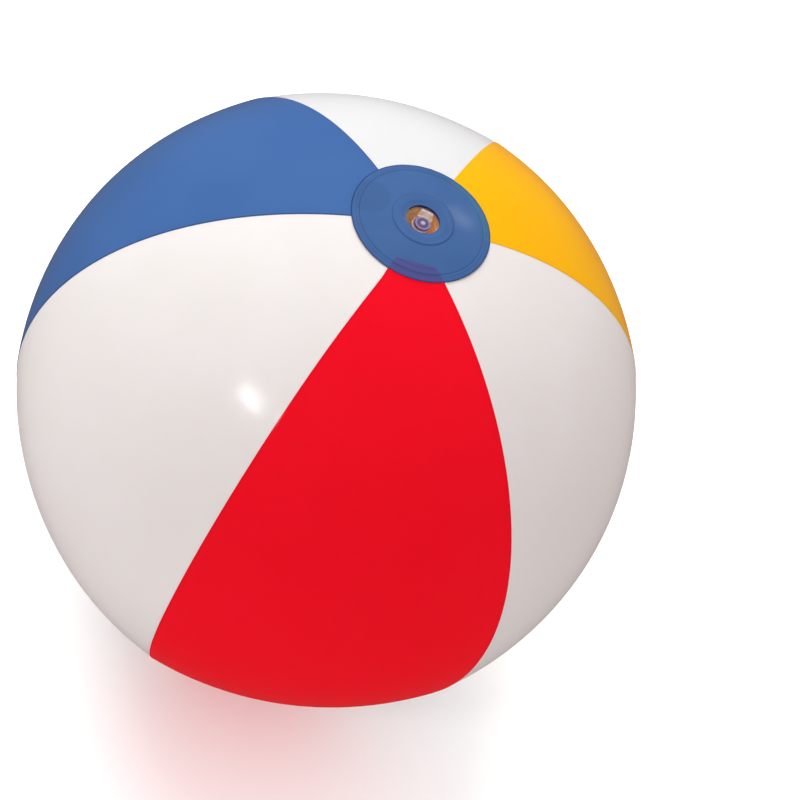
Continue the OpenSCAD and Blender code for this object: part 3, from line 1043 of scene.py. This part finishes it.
# %% Floor
FLOOR_HALF = 3.0
FLOOR_GAP = 0.1 * MM
FLOOR_WHITE = (0.95, 0.95, 0.95, 1.0)
line = np.linspace(-FLOOR_HALF, FLOOR_HALF, 13)
x, y = np.meshgrid(line, line, indexing="ij")
level = np.full_like(x, cad_low[2] - FLOOR_GAP)
floor = build("floor", np.stack([x, y, level], axis=-1).reshape(-1, 3),
              grid_faces(numbered(*x.shape)))
n = Nodes(bpy.data.materials.new("floor"))
floor.data.materials.append(n.end(n.add("ShaderNodeBsdfPrincipled", sockets={
    "Base Color": FLOOR_WHITE, "Roughness": 0.9, "Specular IOR Level": 0.1})))
floor.visible_glossy = False
floor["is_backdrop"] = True


# %% Lights
GLEAM_DISTANCE = 1.4


def softbox(name, place, target, long_way, width, height, power, glossy):
    """A rectangular light at place that faces target, its width along long_way."""
    z_axis = unit(place - target)
    y_axis = unit(np.cross(z_axis, long_way))
    data = bpy.data.lights.new(name, "AREA")
    data.shape = "RECTANGLE"
    data.size, data.size_y = width, height
    data.energy = power
    lamp = bpy.data.objects.new(name, data)
    lamp.matrix_world = standing(np.cross(y_axis, z_axis), y_axis, z_axis, place)
    lamp.visible_glossy = glossy
    bpy.context.scene.collection.objects.link(lamp)
    return lamp


def mirrored_softbox(point, tree, long_way, width, height, power):
    """A softbox whose mirror image shows at a named point of the surface in the tree. It stands
    GLEAM_DISTANCE along sight - 2 (sight . normal) normal from there."""
    hit = on_surface(*POINTS[point], tree)
    normal = np.array(tree.find_nearest(Vector(hit))[1])
    sight = unit(hit - eye)
    away = sight - 2.0 * (sight @ normal) * normal
    place = hit + away * GLEAM_DISTANCE
    return softbox(point, place, hit, long_way, width, height, power, True)


white_tree = tree_of(films["panel_white_left"])
beyond = unit([-back[0], -back[1], 0.0])
main_place = 1.6 * UPWARD + 1.5 * beyond - 1.1 * level_right
lamps = [mirrored_softbox("gleam_on_white", white_tree, right - up, 0.22, 0.12, 3.6),
         mirrored_softbox("gleam_on_disc", disc_tree, up, 0.16, 0.08, 0.22),
         softbox("main", main_place, np.zeros(3), right, 2.2, 2.0, 68.0, False)]
print("lights, W:", {lamp.name: round(lamp.data.energy, 2) for lamp in lamps})

# %% The studio's white
ALL_WHITE = (1.0, 1.0, 1.0, 1.0)
STUDIO = 1.04
STUDIO_MIRRORED = 0.18
n = Nodes(bpy.data.worlds.new("studio"))
bpy.context.scene.world = n.owner
rays = n.add("ShaderNodeLightPath").socket.node
glossy_ray = Wire(n, rays.outputs["Is Glossy Ray"])
all_round = n.add("ShaderNodeBackground", sockets={"Color": ALL_WHITE, "Strength": STUDIO})
mirrored = n.add("ShaderNodeBackground", sockets={"Color": ALL_WHITE, "Strength": STUDIO_MIRRORED})
n.end(n.add("ShaderNodeMixShader", sockets={0: glossy_ray, 1: all_round, 2: mirrored}))
bpy.context.scene.view_settings.view_transform = "Standard"

# %% [markdown]
# ## Measuring
# The last cells write down how far each named thing shows from its point.

# %% What shows where
def corners_of(piece):
    """The places of the piece's vertices, one in each row."""
    co = np.empty(3 * len(piece.data.vertices))
    piece.data.vertices.foreach_get("co", co)
    return co.reshape(-1, 3)


def seam_in_view(piece):
    """Image places of a panel's vertices whose UV map says that they lie on its seam, where
    place . (eye - place) > 0, which is the side towards the camera."""
    mesh = piece.data
    edge = np.empty(2 * len(mesh.loops))
    mesh.uv_layers["film"].data.foreach_get("uv", edge)
    vertex = np.empty(len(mesh.loops), dtype=np.int32)
    mesh.loops.foreach_get("vertex_index", vertex)
    seam = corners_of(piece)[vertex[edge[::2] < 0.01 * MM]]
    return to_image(seam[np.einsum("ij,ij->i", seam, eye - seam) > 0.0])


# %% Points and sizes
ball_seen = np.concatenate([to_image(corners_of(piece)) for piece in films.values()])
low, high = ball_seen.min(axis=0), ball_seen.max(axis=0)
disc_co = corners_of(discs["valve_disc"])
reach = np.hypot(disc_co[:, 0], disc_co[:, 1])
rim = to_image(disc_co[(reach < hole_r + 0.01 * MM) & (disc_co[:, 2] > flange_z - 0.3 * MM)])
disc_seen = to_image(disc_co)
top_co = corners_of(stopper)
from_axis = np.hypot(*(top_co - stopper_askew)[:, :2].T)
pip = top_co[(from_axis < 1.3 * MM) & (top_co[:, 2] > head_z + MM)]
shows = {"hole_middle": 0.5 * (rim.min(axis=0) + rim.max(axis=0)),
         "disc_left": disc_seen[disc_seen[:, 0].argmin()],
         "disc_right": disc_seen[disc_seen[:, 0].argmax()],
         "stopper_pip": to_image(pip).mean(axis=0)}
for colour in ("red", "blue", "yellow"):
    seam = seam_in_view(films["panel_" + colour])
    for name in POINTS:
        if name.startswith(colour + "_seam"):
            shows[name] = seam[np.linalg.norm(seam - POINTS[name], axis=1).argmin()]
for name, place in on_disc.items():
    shows[name] = to_image(place)[0]
for name, tree in (("gleam_on_white", white_tree), ("gleam_on_disc", disc_tree)):
    shows[name] = to_image(on_surface(*POINTS[name], tree))[0]
offsets = {"left_x": low[0] - OUTLINE["left_x"], "right_x": high[0] - OUTLINE["right_x"],
           "top_y": low[1] - OUTLINE["top_y"], "bottom_y": high[1] - OUTLINE["bottom_y"]}
offsets = {name: round(float(off), 1) for name, off in offsets.items()}
offsets.update({name: [round(float(v), 1) for v in shows[name] - POINTS[name]] for name in POINTS})
print("shown minus point:", offsets)

bpy.context.view_layer.update()
